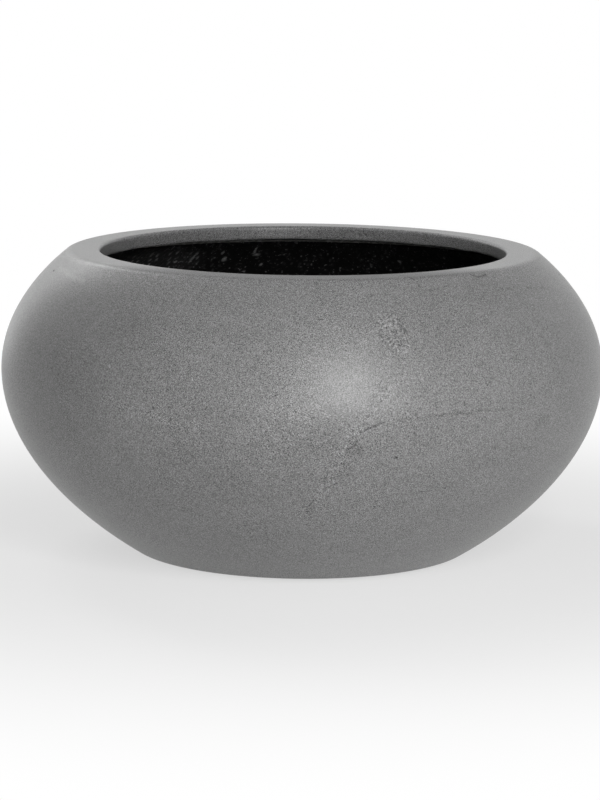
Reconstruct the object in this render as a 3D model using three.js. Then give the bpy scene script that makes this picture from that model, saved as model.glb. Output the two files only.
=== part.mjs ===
// Bowl planter of fibre-reinforced cement, hand-laid in a mould: a round-bellied shell with a flat rim that
// returns inwards as a lip, a glass-mat laminate bonded to its inside, a black waterproof coat on the
// laminate, a rubber plug in the drain hole and four rubber pads under the base.
// Millimetres, +Z up. The origin is on the floor, at the middle of the base.
import * as THREE from 'three';

// ---------------------------------------------------------------- driving dimensions (mm, degrees)
const bellyRadius = 300;        // widest radius of the bowl
const rimHeight = 300;          // floor to rim
const bellyHeight = 182;        // floor to the widest ring
const baseRadius = 169;         // edge of the flat underside
const rimRadius = 233;          // outer corner of the flat rim
const mouthRadius = 202;        // free opening inside the lip
const flankAngle = 32.5;        // slope of the flank where it leaves the base
const shoulderAngle = 40;       // slope of the shoulder where it meets the rim
const flankReach = 90;          // how far the flank holds its slope before it bends up
const bellyReachBelow = 68;     // how far the belly stays upright below the widest ring
const bellyReachAbove = 64;     // and above it
const shoulderReach = 12.5;     // how far the shoulder holds its slope below the rim

const wallThickness = 10;       // cement wall, measured square to the outside
const floorThickness = 12;      // cement base
const lipBand = 13;             // upright inner face of the lip, below the rim
const lipRoot = 18;             // depth of the lip where it grows out of the wall
const rimOuterRound = 5.5;      // radius of the rim's outer edge
const rimInnerRound = 5;        // radius of the rim's inner edge
const lipUnderRound = 2;        // radius of the lip's lower edge
const baseEdgeRound = 6;        // radius of the edge round the underside
const floorFillet = 40;         // radius between the inner floor and the flank

const backingThickness = 2.5;   // glass-mat laminate
const coatingThickness = 1.2;   // waterproof coat
const liningEdgeGap = 1;        // lining stops this short of the lip's root
const bondGap = 0.3;            // bond line between two layers

const drainRadius = 15;         // hole through the base and both linings
const plugClearance = 0.3;      // between the plug's sealing ribs and the hole
const plugRibHeight = 0.9;      // sealing rib above the stem
const plugRibPitch = 5;         // spacing of the sealing ribs
const plugRibCount = 2;
const plugStemInset = 1;        // the stem ends this far above the underside
const plugTaper = 1.2;          // the stem's end is this much smaller in radius
const plugWall = 4;             // rubber wall round the hollow stem
const plugFlangeRadius = 23;    // flange that seals on the inner floor
const plugFlangeThickness = 4;
const plugFlangeRound = 1.8;    // radius of the flange's upper edge

const padRadius = 16;           // rubber floor pads
const padHeight = 2;
const padEdgeInset = 18;        // from the edge of the underside to a pad
const padChamfer = 0.5;
const padCount = 4;

// ---------------------------------------------------------------- facets
const roundFacets = 64;         // round the bowl
const smallFacets = 24;         // round the plug and the pads
const curveSteps = 10;          // along each half of the outer profile
const wallSteps = 5;            // along each half of the inner profile
const edgeSteps = 3;            // along a rounded edge

// ---------------------------------------------------------------- finishes
const finishes = {
  cement: { color: 0x6f7070, roughness: 0.82, metalness: 0 },
  laminate: { color: 0x8d8f86, roughness: 0.7, metalness: 0 },
  coating: { color: 0x0b0b0c, roughness: 0.38, metalness: 0 },
  rubber: { color: 0x17181a, roughness: 0.8, metalness: 0 },
};

// ---------------------------------------------------------------- heights that follow from the sizes
const undersideHeight = padHeight + bondGap;
const innerFloorHeight = undersideHeight + floorThickness;
const backingOffset = bondGap;
const coatingOffset = backingOffset + backingThickness + bondGap;
const liningTopHeight = innerFloorHeight + coatingOffset + coatingThickness;

// ---------------------------------------------------------------- profile tools; a point is (radius, height)
const point = (radius, height) => new THREE.Vector2(radius, height);

const slope = (degrees) => {
  const angle = THREE.MathUtils.degToRad(degrees);
  return point(Math.cos(angle), Math.sin(angle));
};

// Where the line through a and b crosses the level of the given height.
function atHeight(a, b, height) {
  return point(a.x + ((b.x - a.x) * (height - a.y)) / (b.y - a.y), height);
}

// The arc that rounds a corner between two straight runs.
function roundedCorner(before, corner, after, radius, steps = edgeSteps) {
  const toBefore = before.clone().sub(corner).normalize();
  const toAfter = after.clone().sub(corner).normalize();
  const halfAngle = Math.acos(toBefore.dot(toAfter)) / 2;
  const setback = radius / Math.tan(halfAngle);
  const middle = toBefore.clone().add(toAfter).normalize();
  const centre = corner.clone().addScaledVector(middle, radius / Math.sin(halfAngle));
  const startAngle = corner.clone().addScaledVector(toBefore, setback).sub(centre).angle();
  const endAngle = corner.clone().addScaledVector(toAfter, setback).sub(centre).angle();
  const turn = Math.PI - 2 * halfAngle;
  const sweep = Math.sin(endAngle - startAngle) < 0 ? -turn : turn;
  const arc = [];
  for (let step = 0; step <= steps; step += 1) {
    const angle = startAngle + (sweep * step) / steps;
    arc.push(point(centre.x + radius * Math.cos(angle), centre.y + radius * Math.sin(angle)));
  }
  return arc;
}

// The path moved to its left by a distance, with mitred corners, so that the two stay parallel.
function offsetPath(path, distance) {
  const normals = path.slice(1).map((end, i) => {
    const along = end.clone().sub(path[i]).normalize();
    return point(-along.y, along.x);
  });
  return path.map((corner, i) => {
    const before = normals[Math.max(i - 1, 0)];
    const after = normals[Math.min(i, normals.length - 1)];
    const mitre = before.clone().add(after);
    return corner.clone().addScaledVector(mitre, distance / (1 + before.dot(after)));
  });
}

// The solid swept by turning a closed profile, or one that starts and ends on the axis, about the Z axis.
function revolve(profile, facets, close) {
  const points = close ? [...profile, profile[0].clone()] : profile;
  return new THREE.LatheGeometry(points, facets).rotateX(Math.PI / 2);
}

function namedMesh(name, geometry, finish) {
  const mesh = new THREE.Mesh(geometry, new THREE.MeshStandardMaterial(finish));
  mesh.name = name;
  return mesh;
}

// ---------------------------------------------------------------- the bowl's outside
const baseCorner = point(baseRadius, undersideHeight);
const rimCorner = point(rimRadius, rimHeight);
const flankDirection = slope(flankAngle);
const shoulderDirection = slope(-shoulderAngle);

// From the edge of the underside, round the belly, to the rim's outer edge.
function bellyProfile(flankStart, shoulderEnd, steps) {
  const lower = new THREE.CubicBezierCurve(
    flankStart,
    flankStart.clone().addScaledVector(flankDirection, flankReach),
    point(bellyRadius, bellyHeight - bellyReachBelow),
    point(bellyRadius, bellyHeight),
  );
  const upper = new THREE.CubicBezierCurve(
    point(bellyRadius, bellyHeight),
    point(bellyRadius, bellyHeight + bellyReachAbove),
    shoulderEnd.clone().addScaledVector(shoulderDirection, shoulderReach),
    shoulderEnd,
  );
  return [...lower.getPoints(steps), ...upper.getPoints(steps).slice(1)];
}

// ---------------------------------------------------------------- the bowl's inside
// From the drain hole along the floor and up the wall to the lip's root, parallel to the outside.
function insideProfile() {
  const wall = offsetPath(bellyProfile(baseCorner, rimCorner, wallSteps), wallThickness);
  const last = wall.length - 1;
  const rootHeight = rimHeight - lipRoot;
  const inFloor = atHeight(wall[0], wall[1], innerFloorHeight);
  const atRoot = atHeight(wall[last - 1], wall[last], rootHeight);
  const between = wall.filter((spot) => spot.y > innerFloorHeight && spot.y < rootHeight);
  const drainEdge = point(drainRadius, innerFloorHeight);
  const corner = roundedCorner(drainEdge, inFloor, between[0], floorFillet);
  return [drainEdge, ...corner, ...between, atRoot];
}

const inside = insideProfile();

// ---------------------------------------------------------------- cement shell
function makeShell() {
  const rimInner = point(mouthRadius, rimHeight);
  const lipEdge = point(mouthRadius, rimHeight - lipBand);
  const lipRootPoint = inside[inside.length - 1];
  const drainMouth = point(drainRadius, undersideHeight);
  const onFlank = baseCorner.clone().add(flankDirection);
  const onShoulder = rimCorner.clone().add(shoulderDirection);
  const baseEdge = roundedCorner(drainMouth, baseCorner, onFlank, baseEdgeRound);
  const rimOuterEdge = roundedCorner(onShoulder, rimCorner, rimInner, rimOuterRound);
  const belly = bellyProfile(baseEdge[baseEdge.length - 1], rimOuterEdge[0], curveSteps);
  const profile = [
    drainMouth,
    ...baseEdge,
    ...belly.slice(1, -1),
    ...rimOuterEdge,
    ...roundedCorner(rimCorner, rimInner, lipEdge, rimInnerRound),
    ...roundedCorner(rimInner, lipEdge, lipRootPoint, lipUnderRound),
    ...inside.slice().reverse(),
  ];
  return namedMesh('concrete_shell', revolve(profile, roundFacets, true), finishes.cement);
}

// ---------------------------------------------------------------- the two layers of the lining
function makeLining(name, offset, thickness, finish) {
  const last = inside.length - 1;
  const towardsRoot = inside[last].clone().sub(inside[last - 1]).normalize();
  const top = inside[last].clone().addScaledVector(towardsRoot, -liningEdgeGap);
  const carried = [...inside.slice(0, last), top];
  const outer = offsetPath(carried, offset);
  const inner = offsetPath(carried, offset + thickness);
  return namedMesh(name, revolve([...outer, ...inner.reverse()], roundFacets, true), finish);
}

// ---------------------------------------------------------------- rubber plug in the drain hole
function makePlug() {
  const ribRadius = drainRadius - plugClearance;
  const stemRadius = ribRadius - plugRibHeight;
  const stemEnd = undersideHeight + plugStemInset;
  const flangeUnder = liningTopHeight + bondGap;
  const flangeTop = flangeUnder + plugFlangeThickness;
  const hollowRadius = stemRadius - plugTaper - plugWall;
  const hollowTop = flangeUnder - plugFlangeThickness / 2;
  const ribs = [];
  for (let rib = plugRibCount; rib > 0; rib -= 1) {
    const height = flangeUnder - rib * plugRibPitch;
    ribs.push(point(stemRadius, height - plugRibHeight));
    ribs.push(point(ribRadius, height));
    ribs.push(point(stemRadius, height + plugRibHeight));
  }
  const flangeEdge = point(plugFlangeRadius, flangeTop);
  const profile = [
    point(0, hollowTop),
    point(hollowRadius, hollowTop),
    point(hollowRadius, stemEnd),
    point(stemRadius - plugTaper, stemEnd),
    ...ribs,
    point(stemRadius, flangeUnder),
    point(plugFlangeRadius, flangeUnder),
    ...roundedCorner(point(plugFlangeRadius, flangeUnder), flangeEdge, point(0, flangeTop), plugFlangeRound),
    point(0, flangeTop),
  ];
  return namedMesh('drain_plug', revolve(profile, smallFacets, false), finishes.rubber);
}

// ---------------------------------------------------------------- floor pads
function makePad(index) {
  const profile = [
    point(0, 0),
    point(padRadius - padChamfer, 0),
    point(padRadius, padChamfer),
    point(padRadius, padHeight),
    point(0, padHeight),
  ];
  const pad = namedMesh(`foot_pad_${index + 1}`, revolve(profile, smallFacets, false), finishes.rubber);
  const ringRadius = baseRadius - padEdgeInset - padRadius;
  const angle = ((index + 0.5) * 2 * Math.PI) / padCount;
  pad.position.set(ringRadius * Math.cos(angle), ringRadius * Math.sin(angle), 0);
  return pad;
}

// ---------------------------------------------------------------- assembly
const planter = new THREE.Group();
planter.name = 'bowl_planter';
planter.add(makeShell());
planter.add(makeLining('fibre_backing', backingOffset, backingThickness, finishes.laminate));
planter.add(makeLining('black_coating', coatingOffset, coatingThickness, finishes.coating));
planter.add(makePlug());
for (let index = 0; index < padCount; index += 1) {
  planter.add(makePad(index));
}

export default planter;
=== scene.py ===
# %% [markdown]
# # A bowl planter laid up in fibre cement
#
# The planter is a round-bellied bowl, 600 mm across and 300 mm high. A workshop presses a sandy mix of
# cement and fibres into a mould, bonds a glass-mat laminate to its inside, brushes a black waterproof coat
# over the mat and closes the drain hole with a rubber plug. Four thin rubber pads keep the base off the
# floor.
#
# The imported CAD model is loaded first. It is never changed here: each dressed piece stands exactly where
# its CAD node stands, and rides on the same body.

# %% Load the frame
import math
import random

import bmesh
import bpy
from mathutils import Matrix, Vector, noise
from mathutils.geometry import interpolate_bezier


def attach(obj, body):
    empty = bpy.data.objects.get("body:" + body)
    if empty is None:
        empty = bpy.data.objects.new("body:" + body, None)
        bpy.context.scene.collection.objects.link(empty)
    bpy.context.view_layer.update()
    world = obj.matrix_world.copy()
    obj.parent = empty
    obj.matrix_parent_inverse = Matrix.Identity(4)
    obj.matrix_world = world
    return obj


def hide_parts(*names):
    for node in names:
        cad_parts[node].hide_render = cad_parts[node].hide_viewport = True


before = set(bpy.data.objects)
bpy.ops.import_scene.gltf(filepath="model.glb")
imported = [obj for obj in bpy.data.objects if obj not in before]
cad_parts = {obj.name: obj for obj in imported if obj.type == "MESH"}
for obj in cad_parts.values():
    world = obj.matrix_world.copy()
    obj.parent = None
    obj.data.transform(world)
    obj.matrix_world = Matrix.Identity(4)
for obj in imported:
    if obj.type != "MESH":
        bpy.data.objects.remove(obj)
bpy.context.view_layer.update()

# %% [markdown]
# ## The camera
#
# The photograph looks slightly down on the bowl from straight in front, with a long lens. A camera could be
# aimed at a target, but a long lens shows every tenth of a degree, so its angles are given one by one: the
# tilt down, a trace of turn to the left, and a trace of roll.

# %% The camera
camera_place = Vector((0, -3.0, 0.6611))
camera_tilt, camera_turn, camera_roll = (math.radians(a) for a in (9.717, 0.0319, 0.5448))
focal_pixels = 3030.4
image_height = 800
sensor_side = 36

camera_data = bpy.data.cameras.new("camera")
camera_data.sensor_width = sensor_side
camera_data.lens = focal_pixels / image_height * sensor_side
camera = bpy.data.objects.new("camera", camera_data)
looking_level = Matrix.Rotation(camera_turn, 4, "Z") @ Matrix.Rotation(math.pi / 2 - camera_tilt, 4, "X")
camera.matrix_world = Matrix.Translation(camera_place) @ looking_level @ Matrix.Rotation(camera_roll, 4, "Z")
bpy.context.collection.objects.link(camera)
bpy.context.scene.camera = camera
print("lens", round(camera_data.lens, 2), "mm")

# %% [markdown]
# ## Drawing a section, then turning it
#
# A potter's template is the natural start for a bowl: half of its section, drawn once and turned about the
# middle. Two Bezier curves that meet at the widest ring give the belly, and `bmesh.ops.bevel` on single
# vertices rounds the corners of the section with true arcs. `bmesh.ops.spin` turns the wire into a skin.
#
# Each point of the section also carries two numbers, which spin copies to every new vertex: `climb`, its
# distance along the skin from the widest ring, by which the material finds a place, and `hollow`,
# painted shade that grows with how deep in a small pit it lies, by which the material darkens the pit.

# %% Helpers for sections
mm = 0.001


def section(points):
    """A wire in the XZ plane through (radius, height) points, with its vertices in the same order."""
    wire = bmesh.new()
    for layer in ("climb", "hollow"):
        wire.verts.layers.float.new(layer)
    corners = [wire.verts.new((radius, 0, height)) for radius, height in points]
    for here, there in zip(corners, corners[1:]):
        wire.edges.new((here, there))
    return wire, corners


def round_off(wire, corner, radius, segments=4):
    """Rounds one corner of a wire with an arc of the given radius."""
    to_before, to_after = (edge.other_vert(corner).co - corner.co for edge in corner.link_edges)
    setback = radius / math.tan(to_before.angle(to_after) / 2)
    bmesh.ops.bevel(wire, geom=[corner], offset=setback, offset_type="OFFSET", segments=segments,
                    profile=0.5, affect="VERTICES", material=-1)


def divide_long_edges(wire, longest):
    """Cuts the edges of a wire until none is longer than the given length."""
    for edge in list(wire.edges):
        cuts = math.ceil(edge.calc_length() / longest) - 1
        if cuts > 0:
            bmesh.ops.subdivide_edges(wire, edges=[edge], cuts=cuts)


def turn(wire, steps):
    """Spins a wire once round the Z axis. Closes the seam, and the poles where the wire touches the axis."""
    bmesh.ops.spin(wire, geom=wire.verts[:] + wire.edges[:], cent=(0, 0, 0), axis=(0, 0, 1),
                   angle=2 * math.pi, steps=steps, use_merge=True, use_duplicate=False)
    bmesh.ops.remove_doubles(wire, verts=wire.verts, dist=0.01 * mm)
    bmesh.ops.recalc_face_normals(wire, faces=wire.faces)


def finish_piece(skin, name, body, stands_for, smooth_below=40):
    """Turns a bmesh into a finished object that rides on a body and stands for its CAD node."""
    bmesh.ops.triangulate(skin, faces=[face for face in skin.faces if len(face.verts) > 4])
    for face in skin.faces:
        face.smooth = True
    for edge in skin.edges:
        edge.smooth = edge.calc_face_angle(0) < math.radians(smooth_below)
    mesh = bpy.data.meshes.new(name)
    skin.to_mesh(mesh)
    skin.free()
    piece = bpy.data.objects.new(name, mesh)
    bpy.context.collection.objects.link(piece)
    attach(piece, body)
    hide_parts(stands_for)
    triangles = sum(len(polygon.vertices) - 2 for polygon in mesh.polygons)
    print(name, "has", triangles, "triangles")
    return piece


# %% [markdown]
# ## The outline of the bowl
#
# The flank leaves the base at 32.5 degrees, swells to the widest ring at 182 mm and rolls over to a
# shoulder that meets the flat rim at 40 degrees. These are the sizes of the CAD shell, so the belly has the
# same curve. The linings follow the same curve further in, so one function moves the curve inwards: each
# point goes square to the line through its neighbours, as a wall of even thickness does.

# %% The outline
belly_radius, belly_height, rim_height = 300 * mm, 182 * mm, 300 * mm
underside = 2.3 * mm
base_radius, rim_radius, mouth_radius = 169 * mm, 233 * mm, 202 * mm
flank_angle, shoulder_angle = math.radians(32.5), math.radians(40)
flank_reach, shoulder_reach = 90 * mm, 12.5 * mm
belly_reach_below, belly_reach_above = 68 * mm, 64 * mm
curve_points = 58

base_corner, rim_corner = Vector((base_radius, underside)), Vector((rim_radius, rim_height))
up_flank = Vector((math.cos(flank_angle), math.sin(flank_angle)))
down_shoulder = Vector((math.cos(shoulder_angle), -math.sin(shoulder_angle)))


def belly_curve(trim=0.0):
    """The outside from base to rim. Both ends are cut back by the trim, to leave room for a rounding."""
    widest = Vector((belly_radius, belly_height))
    flank_start, shoulder_end = base_corner + up_flank * trim, rim_corner + down_shoulder * trim
    lower = interpolate_bezier(flank_start, flank_start + up_flank * (flank_reach - trim),
                               widest - Vector((0, belly_reach_below)), widest, curve_points)
    upper = interpolate_bezier(widest, widest + Vector((0, belly_reach_above)),
                               shoulder_end + down_shoulder * shoulder_reach, shoulder_end, curve_points)
    return lower + upper[1:]


def moved_in(path, distance):
    """The path moved towards the inside of the bowl, parallel to itself."""
    moved = []
    for i, spot in enumerate(path):
        along = (path[min(i + 1, len(path) - 1)] - path[max(i - 1, 0)]).normalized()
        moved.append(spot + Vector((-along.y, along.x)) * distance)
    return moved


outline = belly_curve()
print("outline of", len(outline), "points, widest", round(max(p.x for p in outline), 4), "m")

# %% [markdown]
# ## The cement shell
#
# The shell is one closed skin: underside, belly, flat rim, the lip that turns down into the mouth, the
# inner wall, the floor and the drain hole. The inner wall is hidden by the linings and stays coarse. The
# outside has a point about every 4 mm up its section, and closer ones near the rim, because the small marks
# of handwork are modelled in it.
#
# The walls and corners stand where the CAD shell has them. Three small sizes follow the photograph instead:
# the rim's outer edge is rounder, its inner edge is tighter, and the lip hangs 1.5 mm lower before it is
# trimmed.

# %% The section of the shell
wall, floor_thickness = 10 * mm, 12 * mm
drain_radius = 15 * mm
lip_band, lip_root = 14.5 * mm, 18 * mm
inner_floor = underside + floor_thickness
floor_fillet = 40 * mm
base_edge_round, rim_outer_round, rim_inner_round, lip_under_round = 6 * mm, 11 * mm, 3 * mm, 2 * mm
fillet_room = 14 * mm
hidden_every = 4
longest_edge, longest_shown_edge, shown_spacing = 24 * mm, 4 * mm, 3 * mm


def inside_path(depth, bottom, top, every=1):
    """The inner wall at a depth behind the outside, from the floor's corner up to a height."""
    path = moved_in(outline, depth)
    between = [p for p in path if bottom < p.y < top]
    first, last = path.index(between[0]), path.index(between[-1])

    def at(height, a, b):
        return a.lerp(b, (height - a.y) / (b.y - a.y))

    start, end = at(bottom, path[first], path[first + 1]), at(top, path[last], path[last + 1])
    return [start] + [p for p in between if (p - start).length > fillet_room][:-2:every] + [end]


hidden_inside = inside_path(wall, inner_floor, rim_height - lip_root, hidden_every)
trim = 6 * mm
shell_points = (
    [(drain_radius, underside), base_corner] + belly_curve(trim)
    + [rim_corner, (mouth_radius, rim_height), (mouth_radius, rim_height - lip_band)]
    + hidden_inside[::-1] + [(drain_radius, inner_floor), (drain_radius, underside)]
)
shell, corners = section(shell_points[:-1])
shell.edges.new((corners[-1], corners[0]))
after_belly = 2 + 2 * curve_points - 1
roundings = [
    (corners[1], base_edge_round, 4), (corners[after_belly], rim_outer_round, 5),
    (corners[after_belly + 1], rim_inner_round, 5), (corners[after_belly + 2], lip_under_round, 3),
    (corners[-2], floor_fillet, 6),
]
for corner, radius, segments in roundings:
    round_off(shell, corner, radius, segments)
divide_long_edges(shell, longest_edge)
above_lip_root = rim_height - lip_root + 0.1 * mm
rim_edges = [e for e in shell.edges
             if min(v.co.z for v in e.verts) > above_lip_root and e.calc_length() > longest_shown_edge]
for edge in rim_edges:
    cuts = math.ceil(edge.calc_length() / shown_spacing) - 1
    bmesh.ops.subdivide_edges(shell, edges=[edge], cuts=cuts)
print("section of the shell has", len(shell.verts), "points")

# %% [markdown]
# ## How far up the skin
#
# A height alone can't name a place on a bowl, because the shoulder is nearly level. The distance along the
# skin can. It is written on the vertices of the section by walking along its edges, up and down from the
# widest ring.

# %% Measure the climb and turn the shell
# The walk ends past the lip above and under the base below.
highest_climb, lowest_climb = 210 * mm, -345 * mm
edge_slack = 5 * mm  # room for the rounded corners
shell_steps = 256


def write_climb(wire, start):
    """Writes each vertex's distance along the wire from the start, as a positive number upwards."""
    climb = wire.verts.layers.float["climb"]
    for edge in start.link_edges:
        here, walked = start, 0.0
        sign = 1 if edge.other_vert(start).co.z > start.co.z else -1
        while edge and lowest_climb < walked * sign < highest_climb:
            here = edge.other_vert(here)
            walked += edge.calc_length()
            here[climb] = walked * sign
            edge = next((other for other in here.link_edges if other != edge), None)


def on_outside(v):
    """Whether a vertex of the section lies on the flank, the belly or the shoulder, and not on the lip."""
    least_radius = base_radius if v.co.z < belly_height else rim_radius
    return v.co.x > least_radius - edge_slack


widest = min(shell.verts, key=lambda v: (v.co - Vector((belly_radius, 0, belly_height))).length)
write_climb(shell, widest)
climb_layer = shell.verts.layers.float["climb"]
belly_stations = sorted((v.co.z, v.co.x, v[climb_layer]) for v in shell.verts
                        if v[climb_layer] and on_outside(v))
turn(shell, shell_steps)
print("shell has", len(shell.verts), "points; outside runs", round(belly_stations[0][2], 3), "to",
      round(belly_stations[-1][2], 3), "m")


def station(height):
    """The radius and the climb of the outside at a height."""
    above = next((i for i, s in enumerate(belly_stations) if s[0] >= height), len(belly_stations) - 1)
    low, high = belly_stations[max(above - 1, 0)], belly_stations[above]
    share = (height - low[0]) / (high[0] - low[0]) if high[0] > low[0] else 0
    return low[1] + (high[1] - low[1]) * share, low[2] + (high[2] - low[2]) * share


def on_skin(azimuth, height):
    """The point of the outside at an azimuth, in degrees from the front to the right, and a height in mm."""
    radius = station(height * mm)[0]
    angle = math.radians(azimuth)
    return Vector((radius * math.sin(angle), -radius * math.cos(angle), height * mm))


# %% [markdown]
# ## Marks of the hand
#
# No two of these bowls are alike: trapped air leaves small round holes, a knock leaves a dent, and the
# lip's lower edge wanders, because the mix is trimmed by hand. The holes could be painted on, but they
# would vanish at the edge of the bowl and in its mesh. So the skin is cut finer round each mark with
# `bmesh.ops.subdivide_edges`, and its vertices are pressed in along their normals. Every mark goes inwards,
# so the bowl stays within its size.
# Each mark also lays painted shade in its pit or groove, by which the material darkens it.

# %% Pressing marks into a skin
def cut_finer(skin, place, reach, cuts):
    """Subdivides the skin within reach of a place."""
    close = {v for v in skin.verts if (v.co - place).length < reach}
    edges = [e for e in skin.edges if e.verts[0] in close and e.verts[1] in close]
    bmesh.ops.subdivide_edges(skin, edges=edges, cuts=cuts, use_grid_fill=True)


def press(skin, start, end, width, depth, painted_shade=0.0):
    """Presses a round-bottomed groove from start to end, or a pit where they are the same point."""
    hollow = skin.verts.layers.float["hollow"]
    middle, run = (start + end) / 2, end - start
    skin.normal_update()
    pressed = []
    for v in skin.verts:
        if (v.co - middle).length > run.length / 2 + width:
            continue
        share = max(0, min(1, (v.co - start).dot(run) / run.length_squared)) if run.length else 0
        nearness = 1 - ((v.co - start - run * share).length / (width / 2)) ** 2
        if nearness > 0:
            pressed.append((v, v.normal.copy(), nearness))
    # Each pressed vertex also keeps painted shade, strongest in the middle of the mark.
    for v, normal, nearness in pressed:
        v.co -= normal * depth * nearness
        v[hollow] = max(v[hollow], painted_shade * nearness)


hole_surround, hole_margin = 6 * mm, 2 * mm
hole_depth_share = 0.55


def air_hole(skin, azimuth, height, size):
    """Presses a round hole, size mm across, into the outside."""
    place = on_skin(azimuth, height)
    cut_finer(skin, place, hole_surround, 3)
    cut_finer(skin, place, size * mm + hole_margin, 2)
    # An air hole gets the full painted shade.
    press(skin, place, place, size * mm, hole_depth_share * size * mm, 1.0)


# %% The air holes, the dent and the rough patch
seed = 11
dice = random.Random(seed)
made_up_holes, patch_pits = 26, 46
# The share of painted shade in the dent and in the pits of the rough patch.
mark_painted_shade = 0.15
front_holes = [(-27, 184.5, 2.4), (17.3, 142.6, 2.8), (14.3, 134, 2.2), (22.3, 122, 2.0), (28.8, 107, 2.2),
               (24, 105.5, 2.4), (14.6, 92.5, 2.2), (1.2, 73.5, 2.0), (-4.6, 202, 1.8), (-3, 194, 1.6),
               (-1, 187.5, 1.6), (1.6, 180.5, 1.8)]
for azimuth, height, size in front_holes:
    air_hole(shell, azimuth, height, size)
for _ in range(made_up_holes):
    air_hole(shell, dice.uniform(75, 285), dice.uniform(30, 285), dice.uniform(1.5, 2.8))

dent = on_skin(-21.2, 142)
cut_finer(shell, dent, 12 * mm, 2)
press(shell, on_skin(-22, 142.5), on_skin(-20.4, 141.5), 7 * mm, 0.6 * mm, mark_painted_shade)

patch_centre = (17.6, 255)
cut_finer(shell, on_skin(*patch_centre), 26 * mm, 2)
for _ in range(patch_pits):
    lean = dice.gauss(0, 1)
    azimuth = patch_centre[0] + 1.5 * dice.gauss(0, 1) + 0.35 * lean
    place = on_skin(azimuth, patch_centre[1] - 8 * lean)
    press(shell, place, place, dice.uniform(2.5, 4.5) * mm, dice.uniform(0.25, 0.6) * mm, mark_painted_shade)
print("after the marks:", len(shell.verts), "points")

# %% [markdown]
# ## The lip
#
# At the back of the mouth the camera sees the inner face of the lip. Its lower edge was trimmed by eye, so
# it wanders by up to 0.8 mm and sits as much higher on the right. Two short strokes of the trowel cross it
# on the right.

# %% The lip's lower edge and the strokes across it
trim_rise, trim_wander, wanders_per_metre = 0.8 * mm, 0.8 * mm, 45
# The lip's strokes and pits get half the painted shade of an air hole.
lip_pits, lip_painted_shade = 14, 0.5
lip_low, lip_high, lip_back = rim_height - lip_root, rim_height - lip_band + 5 * mm, 8 * mm
for v in shell.verts:
    radius = math.hypot(v.co.x, v.co.y)
    if lip_low < v.co.z < lip_high and radius < mouth_radius + lip_back:
        to_right = 0.5 + 0.5 * v.co.x / radius
        wander = noise.noise(v.co * wanders_per_metre) * trim_wander
        low = (lip_high - v.co.z) / (lip_high - (rim_height - lip_band))
        v.co.z += (trim_rise * to_right + max(wander, -trim_wander * to_right)) * min(low, 1)


def on_lip(azimuth, height, radius=mouth_radius):
    """A point of the lip's inner face, by its azimuth from the back to the right and its height in mm."""
    angle = math.radians(azimuth)
    return Vector((radius * math.sin(angle), radius * math.cos(angle), height * mm))


cut_finer(shell, on_lip(17.5, 295), 14 * mm, 3)
for azimuth, shift in ((15.6, 1.5), (17.4, 1.9)):
    stroke_start, stroke_end = on_lip(azimuth, 300.5, 205 * mm), on_lip(azimuth + shift, 291)
    press(shell, stroke_start, stroke_end, 2.6 * mm, 0.8 * mm, lip_painted_shade)
for _ in range(lip_pits):
    azimuth = dice.uniform(-180, 180)
    place = on_lip(azimuth, dice.uniform(291, 299))
    cut_finer(shell, place, 5 * mm, 2)
    press(shell, place, place, dice.uniform(1.5, 3.5) * mm, dice.uniform(0.2, 0.5) * mm, lip_painted_shade)

# %% [markdown]
# ## Slow waves
#
# The mould is a little uneven, and the skin follows it: waves of about a hand's width and a third of a
# millimetre deep. They don't show as shapes, but they keep the long highlights from looking drawn with a
# ruler.

# %% Waves in the skin, and the finished shell
wave_depth, waves_per_metre = 0.35 * mm, 9
fade_length = 40 * mm
shell.normal_update()
for v in shell.verts:
    outward = v.co.x * v.normal.x + v.co.y * v.normal.y > 0
    fade = min(v.co.z - underside, rim_height - v.co.z, fade_length) / fade_length
    if outward and fade > 0:
        swell = noise.noise(v.co * waves_per_metre) * 0.5 + 0.5
        v.co -= v.normal * wave_depth * fade * max(0, min(1, swell))
cement_bowl = finish_piece(shell, "cement_bowl", "bowl", "concrete_shell")

# %% [markdown]
# ## The linings
#
# The glass mat and the coat are two thin skins of even thickness, parallel to the shell's inside. Each is
# drawn as a closed section, out along one face and back along the other, and turned. The mat is hidden, so
# it stays plain. The coat is the visible inside of the bowl: it was brushed on by hand over a coarse weave,
# so its inner face gets slow ripples, always towards the open side.

# %% A lining and its two layers
bond, mat_thickness, coat_thickness, lining_gap = 0.3 * mm, 2.5 * mm, 1.2 * mm, 0.6 * mm
lining_edge, smooth_round_drain = 12 * mm, 12 * mm


def face_of_lining(depth, every):
    """One face of a lining, this far inside the shell's inner wall, from the drain hole to its top."""
    floor = inner_floor + depth
    top = rim_height - lip_root - lining_gap - depth * math.cos(shoulder_angle)
    return [Vector((drain_radius, floor))] + inside_path(wall + depth, floor, top, every)


def lining(depth, thickness, every_hidden, every_shown, steps):
    """A lining as a skin, of the given thickness, at a depth inside the shell's inner wall."""
    hidden, shown = face_of_lining(depth, every_hidden), face_of_lining(depth + thickness, every_shown)
    wire, spots = section(hidden + shown[::-1])
    wire.edges.new((spots[-1], spots[0]))
    inner_corner = spots[len(hidden) + len(shown) - 2]
    hidden_fillet = floor_fillet - depth
    for corner, radius in ((spots[1], hidden_fillet), (inner_corner, hidden_fillet - thickness)):
        round_off(wire, corner, radius, 6)
    divide_long_edges(wire, lining_edge)
    shown_radius = belly_radius - wall - depth - thickness
    write_climb(wire, min(wire.verts, key=lambda v: (v.co - Vector((shown_radius, 0, belly_height))).length))
    turn(wire, steps)
    return wire


mat = lining(bond, mat_thickness, every_hidden=4, every_shown=4, steps=128)
glass_mat = finish_piece(mat, "glass_mat", "bowl", "fibre_backing")

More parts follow.
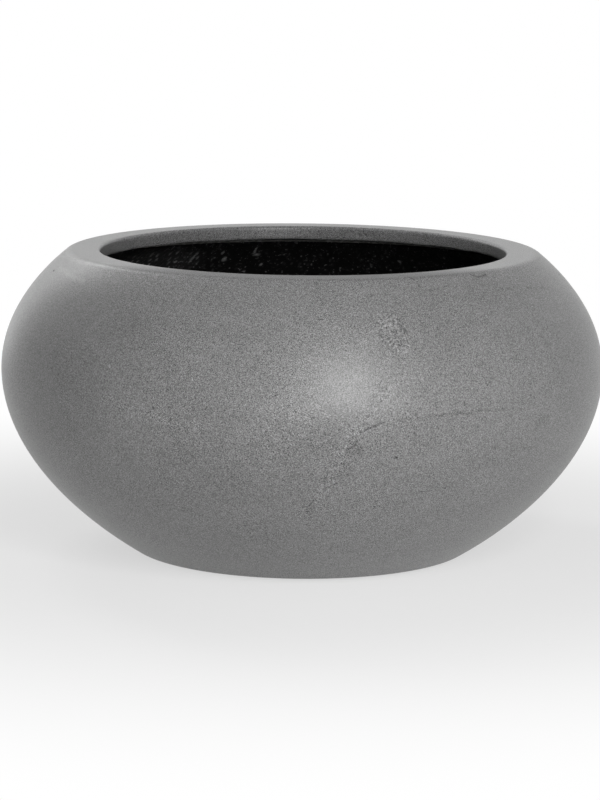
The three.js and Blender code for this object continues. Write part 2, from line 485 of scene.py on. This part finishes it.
coat_depth = bond + mat_thickness + bond
coat = lining(coat_depth, coat_thickness, every_hidden=3, every_shown=1, steps=320)
ripple_depth, ripples_per_metre, fine_ripples_per_metre = 0.9 * mm, 22, 75
coat.normal_update()
for v in coat.verts:
    inward = v.normal.z > 0.5 or v.co.x * v.normal.x + v.co.y * v.normal.y < 0
    if inward and math.hypot(v.co.x, v.co.y) > drain_radius + smooth_round_drain:
        ripple = 0.5 + 0.6 * noise.noise(v.co * ripples_per_metre)
        ripple += 0.25 * noise.noise(v.co * fine_ripples_per_metre)
        v.co += v.normal * ripple_depth * max(0, min(1, ripple))
coated_inside = finish_piece(coat, "coated_inside", "bowl", "black_coating")

# %% [markdown]
# ## The rubber plug and the floor pads
#
# The plug is a turned part too: a flange that seals on the floor of the bowl, a stem with two sealing ribs,
# and a hollow that lets the stem give. Rubber has no sharp edges when it leaves its mould, so each corner
# of the section is rounded before the spin. The pads are plain discs with a rounded lower edge.

# %% The plug
flange_under = inner_floor + coat_depth + coat_thickness + bond
flange_radius, flange_top = 23 * mm, flange_under + 4 * mm
rib_height, rib_pitch, rib_clearance = 0.9 * mm, 5 * mm, 0.3 * mm
stem_radius = drain_radius - rib_clearance - rib_height
stem_end, stem_taper, stem_wall = underside + mm, 1.2 * mm, 4 * mm
hollow_radius, hollow_top = stem_radius - stem_taper - stem_wall, flange_under - 2 * mm
plug_steps = 64

plug_points = [(0, hollow_top), (hollow_radius, hollow_top), (hollow_radius, stem_end),
               (stem_radius - stem_taper, stem_end)]
for rib in (2, 1):
    rib_middle = flange_under - rib * rib_pitch
    plug_points += [(stem_radius, rib_middle - rib_height), (stem_radius + rib_height, rib_middle),
                    (stem_radius, rib_middle + rib_height)]
plug_points += [(stem_radius, flange_under), (flange_radius, flange_under), (flange_radius, flange_top),
                (0, flange_top)]
plug_wire, plug_corners = section(plug_points)
# The radius in mm of each rounded corner, by its number along the section.
plug_rounds = {1: 1.5, 2: 0.5, 3: 0.6, 5: 0.35, 8: 0.35, 10: 0.5, 11: 0.6, 12: 1.8}
for index, radius in plug_rounds.items():
    round_off(plug_wire, plug_corners[index], radius * mm, 4)
turn(plug_wire, plug_steps)
drain_bung = finish_piece(plug_wire, "drain_bung", "plug", "drain_plug")

# %% The four pads
pad_radius, pad_height, pad_inset = 16 * mm, 2 * mm, 18 * mm
pad_edge_round = 0.5 * mm
pad_count, pad_steps = 4, 48
pad_ring = base_radius - pad_inset - pad_radius
floor_pads = []
for index in range(pad_count):
    pad_wire, pad_corners = section([(0, 0), (pad_radius, 0), (pad_radius, pad_height), (0, pad_height)])
    round_off(pad_wire, pad_corners[1], pad_edge_round, 3)
    turn(pad_wire, pad_steps)
    angle = 2 * math.pi * (index + 0.5) / pad_count
    pad_place = (pad_ring * math.cos(angle), pad_ring * math.sin(angle), 0)
    bmesh.ops.translate(pad_wire, verts=pad_wire.verts, vec=pad_place)
    pad = finish_piece(pad_wire, f"floor_pad_{index + 1}", "bowl", f"foot_pad_{index + 1}")
    floor_pads.append(pad)

# %% [markdown]
# ## Writing materials as expressions
#
# A pattern such as sand in cement is arithmetic on a few noises. Placing each Math node by hand hides that
# arithmetic. The class below holds one output of a node, and adds a Math node whenever it meets a Python
# sign, so a mask can be written as `1 - grain * 0.3`. Every other node comes from one method.

# %% A socket that can be reckoned with
class Value:
    """One output of a node. Signs between values, or between a value and a number, add Math nodes."""

    def __init__(self, finish, socket):
        self.finish, self.socket = finish, socket

    def maths(self, operation, *others, first=False, clamp=False):
        operands = others + (self,) if first else (self,) + others
        settings = {"operation": operation, "use_clamp": clamp}
        return self.finish.node("ShaderNodeMath", settings, dict(enumerate(operands)))

    def __add__(self, other):
        return self.maths("ADD", other)

    def __sub__(self, other):
        return self.maths("SUBTRACT", other)

    def __mul__(self, other):
        return self.maths("MULTIPLY", other)

    def __rsub__(self, other):
        return self.maths("SUBTRACT", other, first=True)

    __radd__, __rmul__ = __add__, __mul__


shake_reach = 6 * mm


class Finish:
    """A material or a world, whose nodes are added one by one."""

    def __init__(self, name, kind=None):
        self.owner = (bpy.data.materials if kind is None else kind).new(name)
        self.owner.use_nodes = True
        self.owner.node_tree.nodes.clear()

    def node(self, kind, settings=None, inputs=None, output=None):
        """Adds a node, makes its settings, fills its sockets, and returns one of its outputs."""
        made = self.owner.node_tree.nodes.new(kind)
        for key, value in (settings or {}).items():
            setattr(made, key, value)
        for key, value in (inputs or {}).items():
            if isinstance(key, str):
                socket = next(s for s in made.inputs if s.name == key and s.enabled)
            else:
                socket = made.inputs[key]
            if isinstance(value, Value):
                self.owner.node_tree.links.new(value.socket, socket)
            else:
                socket.default_value = value
        found = (s for s in made.outputs if s.enabled and output in (None, s.name))
        return Value(self, next(found, None))

    def place(self):
        return self.node("ShaderNodeTexCoord", output="Object")

    def attribute(self, name):
        return self.node("ShaderNodeAttribute", {"attribute_name": name}, output="Fac")

    def vector(self, operation, a, b):
        return self.node("ShaderNodeVectorMath", {"operation": operation}, {0: a, 1: b})

    def noise(self, place, per_metre, detail=2.0, roughness=0.5, output=None):
        """A noise with this many blotches to the metre, from 0 to 1."""
        return self.node("ShaderNodeTexNoise", {}, {"Vector": place, "Scale": per_metre, "Detail": detail,
                                                    "Roughness": roughness}, output)

    def axes(self, place):
        """The X, Y and Z of a place."""
        parts = self.node("ShaderNodeSeparateXYZ", {}, {"Vector": place}, "X").socket.node
        return [Value(self, parts.outputs[axis]) for axis in "XYZ"]

    def shaken(self, plane, place, per_metre, detail):
        """A plane whose places are moved a little by a noise, so that marks in it have uneven edges."""
        shake = self.noise(place, per_metre, detail, output="Color")
        shake = self.vector("SUBTRACT", shake, (0.5, 0.5, 0.5))
        return self.vector("ADD", plane, self.vector("MULTIPLY", shake, (shake_reach,) * 3))

    def between(self, value, low, high):
        """0 below low and 1 above high, with a soft step between them. It may run downwards."""
        return self.node("ShaderNodeMapRange", {"interpolation_type": "SMOOTHSTEP"},
                         {"Value": value, "From Min": low, "From Max": high})

    def surface(self, shader, output="ShaderNodeOutputMaterial"):
        self.node(output, {}, {"Surface": shader})
        return self.owner

# %% [markdown]
# ## Cement
# Painted light lifts the grey near the foot, and painted shade darkens the flanks, the rim's front and the
# pits.
#
# The real surface is bare, sandy cement, neutral grey. Seen close, each grain of sand is lighter or darker
# than the paste round it; seen from a step away, the paste has slow clouds from the mould. Over that come
# the marks of making: faint flow lines, a rough patch, pale rubs at the shoulder. A painted picture would
# be seen to repeat and would need a seam, so the grain and the clouds are noises in the bowl's own space.
#
# Each mark is an oval or a stroke with edges that a noise makes uneven. It is placed in the plane of
# `around`, metres along the widest ring from the front, and `climb`.

# %% The plane of the skin
cement = Finish("cement")
spot = cement.place()
east, north, height = cement.axes(spot)
around = east.maths("ARCTAN2", north * -1) * belly_radius
climb = cement.attribute("climb")
skin_plane = cement.node("ShaderNodeCombineXYZ", {}, {"X": around, "Y": climb})
unsteady = cement.shaken(skin_plane, spot, per_metre=70, detail=3)


def in_plane(azimuth, level):
    """A place in the plane of the skin, from an azimuth in degrees and a height in mm."""
    return Vector((math.radians(azimuth) * belly_radius, station(level * mm)[1], 0))


def oval_in(plane, centre, half_width, half_height, lean, edge):
    """1 inside an oval mark and 0 outside it. Sizes are in mm, and the lean in degrees to the left."""
    finish = plane.finish
    off = finish.vector("SUBTRACT", plane, centre)
    turned = finish.node("ShaderNodeVectorRotate", {"rotation_type": "Z_AXIS"},
                         {"Vector": off, "Angle": math.radians(-lean)})
    scaled = finish.vector("MULTIPLY", turned, (1 / (half_width * mm), 1 / (half_height * mm), 0))
    away = finish.node("ShaderNodeVectorMath", {"operation": "LENGTH"}, {0: scaled}, "Value")
    return finish.between(away, 1 + edge, 1 - edge)


def oval(azimuth, level, half_width, half_height, lean=0.0, edge=0.5):
    """An oval mark on the outside."""
    return oval_in(unsteady, in_plane(azimuth, level), half_width, half_height, lean, edge)


def stroke(places, width, edge=0.8):
    """1 along a line through the places and 0 away from it. The width is in mm."""
    nearest = None
    for start, end in zip(places, places[1:]):
        start, end = in_plane(*start), in_plane(*end)
        run = end - start
        off = cement.vector("SUBTRACT", unsteady, start)
        along = cement.node("ShaderNodeVectorMath", {"operation": "DOT_PRODUCT"},
                            {0: off, 1: run / run.length_squared}, "Value")
        foot = cement.node("ShaderNodeVectorMath", {"operation": "SCALE"},
                           {0: run, "Scale": along.maths("ADD", 0, clamp=True)})
        away = cement.node("ShaderNodeVectorMath", {"operation": "DISTANCE"}, {0: off, 1: foot}, "Value")
        nearest = away if nearest is None else nearest.maths("MINIMUM", away)
    half = width * mm / 2
    return cement.between(nearest, half * (1 + edge), half * (1 - edge))


# %% Clouds and grains
clouds = cement.noise(spot, 6, 3, 0.55) - 0.5
streaks = cement.noise(cement.vector("MULTIPLY", spot, (1, 1, 2.6)), 16, 4, 0.6) - 0.5
mottle = cement.noise(spot, 60, 4, 0.6) - 0.5
sand = cement.noise(spot, 1250, 1, 0.8) - 0.5
coarse_sand = cement.noise(spot, 380, 2, 0.7) - 0.5
sandy_places = cement.between(cement.noise(spot, 11, 2, 0.5), 0.38, 0.66)
pale_grains = cement.between(cement.noise(spot, 620, 1, 0.5), 0.64, 0.74)
dark_grains = cement.between(cement.noise(spot, 560, 1, 0.5), 0.36, 0.28)
broken = cement.between(cement.noise(spot, 160, 2, 0.6), 0.4, 0.55)

# %% The marks on the photographed side, with painted light and painted shade
rough_patch = oval(17.6, 255, 15, 24, 8, 0.3)
rough_trail = stroke([(14.7, 207), (7.7, 152), (4.5, 112), (0.9, 85)], 13)
dark_blotch = oval(9.5, 152, 9, 5, 10)
crack = stroke([(10.2, 168), (12.4, 172.4), (14.8, 179.4)], 2)
flow_lines = (stroke([(17.4, 178.9), (26.9, 181.6), (38.9, 181.7)], 2.4)
              + stroke([(21.9, 281.9), (27, 287.3), (34.3, 290.9)], 3)
              + stroke([(14, 286), (18, 287)], 2.6)
              + stroke([(48.1, 284.9), (65.1, 277.6)], 3))
trowel_hook = stroke([(42.1, 298), (43.5, 295.5), (46.7, 296.5)], 2.8)
dark_smudges = oval(49.2, 164, 10, 5) + oval(49, 282, 26, 6)
pale_rubs = (stroke([(-89, 292), (-78, 296), (-60.8, 297)], 2.5) + stroke([(-84, 297), (-70, 298)], 1.8)
             + stroke([(-74, 288), (-56, 284)], 5))
shoulder_smudge = oval(-69, 295, 44, 8, 0, 0.3)
dark_bands = oval(-12, 282, 46, 12, 0, 0.7) + oval(-35, 255, 34, 12, 20, 0.8) + oval(2, 158, 22, 7, -8, 0.8)
sandy_streak = stroke([(-38.6, 190.4), (-28, 177), (-18, 167.6)], 9)
bright_specks = oval(-37.1, 217.8, 1.1, 1.1) + oval(-19.6, 212.6, 1.1, 1.1)
# Painted light: the grey is lifted a little towards the foot.
painted_light_foot = cement.between(climb, -30 * mm, -170 * mm)
# Painted shade: the top of the rim is darkened on its front side, and made rougher there.
top_of_rim = cement.between(height, rim_height - 2.5 * mm, rim_height - 0.5 * mm)
front_rim_painted_shade = cement.between(north, -130 * mm, -200 * mm) * top_of_rim
# Painted shade: the belly is darkened on its left and right flanks.
painted_shade_flanks = oval(-57, 196, 95, 42, 0, 0.6) + oval(72, 205, 85, 55, 0, 0.6)

# %% The cement's colour, gloss and relief
cement_grey, darkest_cement = 0.18, 0.015
roughness_at_rest, least_roughness = 0.37, 0.2
hollow = cement.attribute("hollow")
patch_lumps = (coarse_sand * 4 + mottle * 1.4 - 0.02) * (rough_patch + rough_trail * 0.45)
grain_strength = 1 + sandy_places * 0.2 + rough_trail * 0.2 + sandy_streak * 0.5
grains = (sand * 4.6 + coarse_sand * 0.5) * grain_strength + patch_lumps
# The tone is a share of the grey. Each weight is how much of it that pattern or mark adds or takes away.
tone = 1 + clouds * 0.4 + streaks * 0.26 + mottle * 0.2 + grains
tone = tone + pale_grains * grain_strength * 0.36 - dark_grains * grain_strength * 0.22
tone = tone - dark_blotch * 0.26 - crack * broken * 0.5 - flow_lines * broken * 0.36
tone = tone - trowel_hook * 0.65 - dark_smudges * 0.18 - shoulder_smudge * 0.45 - dark_bands * 0.1
# Near the foot the grey is lifted a little, as painted light.
tone = tone + pale_rubs * 0.36 + bright_specks * 0.8 + painted_light_foot * 0.05
# The front of the rim's top and the two flanks are darkened, as painted shade.
tone = tone - front_rim_painted_shade * 0.13 - painted_shade_flanks * 0.14
# Painted shade darkens the pits, the dent and the pressed strokes.
tone = tone * (1 - hollow * 0.88)
shade = (tone * cement_grey).maths("MAXIMUM", darkest_cement)
rough = roughness_at_rest + sand * 0.3 + clouds * 0.1 + rough_patch * 0.1 + front_rim_painted_shade * 0.3 + hollow * 0.4
rough = rough.maths("MAXIMUM", least_roughness)

grain_relief = 0.05 * mm
raised = sand * grain_strength * 2 + coarse_sand * 1.5 + patch_lumps * 3
cut_in = crack * broken * 6 + trowel_hook * 6
relief = cement.node("ShaderNodeBump", {}, {
    "Strength": 1.0, "Distance": grain_relief, "Height": raised - cut_in,
})
cement_shader = cement.node("ShaderNodeBsdfPrincipled", {}, {
    "Base Color": shade, "Roughness": rough, "Normal": relief, "Specular IOR Level": 0.5,
})
cement_bowl.data.materials.append(cement.surface(cement_shader))

# %% [markdown]
# ## The black coat
#
# The coat is nearly black, with a soft sheen. Where the mat's weave shows through, it is a lattice of small
# bumps on the diagonal, with a painted highlight on their crowns; elsewhere only a brush hair or a speck of
# dust catches the light. A lattice is the product of two waves that cross at an angle.

# %% The coat's finish
coating = Finish("coating")
spot = coating.place()
east, north, height = coating.axes(spot)
inside_radius = 250 * mm
around = east.maths("ARCTAN2", north) * inside_radius
inside_plane = coating.node("ShaderNodeCombineXYZ", {}, {"X": around, "Y": height})
inside_plane = coating.shaken(inside_plane, spot, per_metre=110, detail=2)


def inside_place(azimuth, level):
    """A place on the inner wall, by its azimuth from the back to the right and its height in mm."""
    return Vector((math.radians(azimuth) * inside_radius, level * mm, 0))


def inner_oval(azimuth, level, half_width, half_height, lean=0.0, edge=0.5):
    """An oval mark on the inner wall."""
    return oval_in(inside_plane, inside_place(azimuth, level), half_width, half_height, lean, edge)


weave_pitch = 8.5 * mm
turns = 2 * math.pi / weave_pitch
drift = (coating.noise(spot, 55, 2) - 0.5) * 5
one_way = ((around - height * 0.4) * turns + drift).maths("SINE")
other_way = (height * 0.7 * turns - drift).maths("SINE")
lattice = one_way * other_way
bumps = coating.between(lattice, 0.25, 0.85)
woven_patch = inner_oval(-38, 258, 52, 17, 0, 0.35)
woven_places = (coating.between(coating.noise(spot, 9, 2), 0.5, 0.66) * 0.35).maths("MAXIMUM", woven_patch)
uneven = coating.between(coating.noise(spot, 75, 2, 0.6), 0.4, 0.62)
flecks = (inner_oval(-20.5, 267, 1.2, 2.5, -20) + inner_oval(-19.5, 259, 2.6, 2.2)
          + inner_oval(-12.3, 269, 1.2, 4.5, -35) + inner_oval(-11.6, 264, 3.5, 2.2, 0, 0.6)
          + inner_oval(-10, 252, 1.2, 1.6) + inner_oval(-28, 262, 1.4, 5.5, -25)
          + inner_oval(24.2, 259, 2.2, 1.8) + inner_oval(37.8, 268, 1.5, 1.5))
dabs = coating.between(coating.noise(spot, 140, 2, 0.6), 0.6, 0.72)
brush = coating.noise(coating.vector("MULTIPLY", spot, (1, 1, 5)), 60, 3, 0.6) - 0.5
dust = coating.between(coating.noise(spot, 380, 1), 0.64, 0.74)
coat_relief = coating.node("ShaderNodeBump", {}, {
    "Strength": 1.0, "Distance": mm,
    "Height": bumps * woven_places * 0.5 + dabs * 0.3 + brush * 0.25 + flecks * 0.3,
})
coat_black = 0.005
coat_roughness = 0.34
# Painted highlight: the crowns of the weave and the dabs are lighter in the base colour.
painted_weave_highlight = bumps * woven_places * uneven * 0.28 + woven_patch * 0.02 + uneven * dabs * 0.03
coating_shader = coating.node("ShaderNodeBsdfPrincipled", {}, {
    "Base Color": dust * 0.2 + coat_black + painted_weave_highlight + flecks * 0.2,
    "Roughness": dust * 0.3 + brush * 0.15 + coat_roughness,
    "Normal": coat_relief,
})
coated_inside.data.materials.append(coating.surface(coating_shader))

# %% [markdown]
# ## Glass mat and rubber
#
# The mat shows only as a thin ring in the drain hole: resin with pale chopped strands in it. The rubber of
# the plug and pads is a dull near-black with a faint bloom.

# %% Two plain finishes
laminate = Finish("laminate")
spot = laminate.place()
strands = laminate.noise(laminate.vector("MULTIPLY", spot, (1, 1, 6)), 180, 3, 0.7)
resin = laminate.noise(spot, 40, 2)
resin_colour, strand_colour = (0.15, 0.15, 0.14, 1), (0.34, 0.34, 0.33, 1)
laminate_colour = laminate.node("ShaderNodeMix", {"data_type": "RGBA"}, {
    "Factor": laminate.between(strands, 0.45, 0.65), "A": resin_colour, "B": strand_colour,
})
laminate_shader = laminate.node("ShaderNodeBsdfPrincipled", {}, {
    "Base Color": laminate_colour, "Roughness": resin * 0.3 + 0.4,
    "Normal": laminate.node("ShaderNodeBump", {}, {"Distance": 0.3 * mm, "Height": strands}),
})
glass_mat.data.materials.append(laminate.surface(laminate_shader))

rubber = Finish("rubber")
spot = rubber.place()
bloom = rubber.noise(spot, 90, 4, 0.6)
moulding = rubber.noise(spot, 1200, 2)
rubber_black, bloom_grey = 0.008, 0.012
rubber_shader = rubber.node("ShaderNodeBsdfPrincipled", {}, {
    "Base Color": bloom * bloom_grey + rubber_black, "Roughness": bloom * 0.2 + 0.6,
    "Normal": rubber.node("ShaderNodeBump", {}, {"Distance": 0.05 * mm, "Height": moulding}),
})
rubber_material = rubber.surface(rubber_shader)
for piece in [drain_bung] + floor_pads:
    piece.data.materials.append(rubber_material)

# %% [markdown]
# ## Studio
#
# The bowl stands on a pale floor in a bright studio. A tall, narrow soft box ahead and a little to the
# right makes the round glow on the belly, and a wide, low one under it lights the flank. Two at the left,
# towards the back, trace the left side, and a weak one high behind the bowl lights the rim. The floor keeps
# the bowl's soft shadow and runs out into white.

# %% Floor
floor_radius, floor_grey = 30.0, 0.9
ground = bmesh.new()
bmesh.ops.create_circle(ground, cap_ends=True, segments=96, radius=floor_radius)
floor_mesh = bpy.data.meshes.new("floor")
ground.to_mesh(floor_mesh)
ground.free()
floor = bpy.data.objects.new("floor", floor_mesh)
bpy.context.collection.objects.link(floor)


def looked_at(finish):
    """1 where a camera, glossy or transmission ray looks, and 0 for the light that falls on the bowl."""
    camera_ray = finish.node("ShaderNodeLightPath", output="Is Camera Ray")
    seen = camera_ray
    for kind in ("Is Glossy Ray", "Is Transmission Ray"):
        seen = seen.maths("MAXIMUM", Value(finish, camera_ray.socket.node.outputs[kind]))
    return seen


paving = Finish("floor")
spot = paving.place()
away = paving.node("ShaderNodeVectorMath", {"operation": "LENGTH"}, {0: spot}, "Value")
matt = paving.node("ShaderNodeBsdfDiffuse", {}, {"Color": (floor_grey, floor_grey, floor_grey, 1)})
white = paving.node("ShaderNodeEmission", {}, {"Color": (1, 1, 1, 1), "Strength": 1.0})
near_glow, runs_out_from, all_white_from = 0.6, 0.3, 0.9
run_out = near_glow + paving.between(away, runs_out_from, all_white_from) * (1 - near_glow)
floor_shader = paving.node("ShaderNodeMixShader", {}, {0: run_out * looked_at(paving), 1: matt, 2: white})
floor.data.materials.append(paving.surface(floor_shader))

# %% Sky
sky_level = 0.2
sky = Finish("studio", bpy.data.worlds)
bpy.context.scene.world = sky.owner
strength = sky.node("ShaderNodeMapRange", {}, {"Value": looked_at(sky), "To Min": sky_level, "To Max": 1.0})
glow = sky.node("ShaderNodeBackground", {}, {"Color": (1, 1, 1, 1), "Strength": strength})
sky.surface(glow, "ShaderNodeOutputWorld")

# %% Lamps
aim = Vector((0, 0, 0.18))
lamp_distance = 2.2
# Azimuth from the front to the right and rise, in degrees; width and height in metres; power in watts.
lamps = {
    "tall_key": (16, 20, 0.3, 1.5, 25.5),
    "low_fill": (14, -1, 2.0, 0.25, 9.5),
    "left_back_high": (-145, 38, 0.5, 1.2, 9),
    "left_back_low": (-145, 5, 0.5, 1.2, 2),
    "back_high": (180, 24, 1.6, 0.8, 1.5),
}
for name, (azimuth, rise, width, tall, watts) in lamps.items():
    angle, rise = math.radians(azimuth), math.radians(rise)
    towards = Vector((math.sin(angle) * math.cos(rise), -math.cos(angle) * math.cos(rise), math.sin(rise)))
    lamp_data = bpy.data.lights.new(name, "AREA")
    lamp_data.shape = "RECTANGLE"
    lamp_data.size, lamp_data.size_y, lamp_data.energy = width, tall, watts
    lamp = bpy.data.objects.new(name, lamp_data)
    lamp.matrix_world = (Matrix.Translation(aim + towards * lamp_distance)
                         @ towards.to_track_quat("Z", "Y").to_matrix().to_4x4())
    bpy.context.collection.objects.link(lamp)
bpy.context.scene.view_settings.view_transform = "Standard"
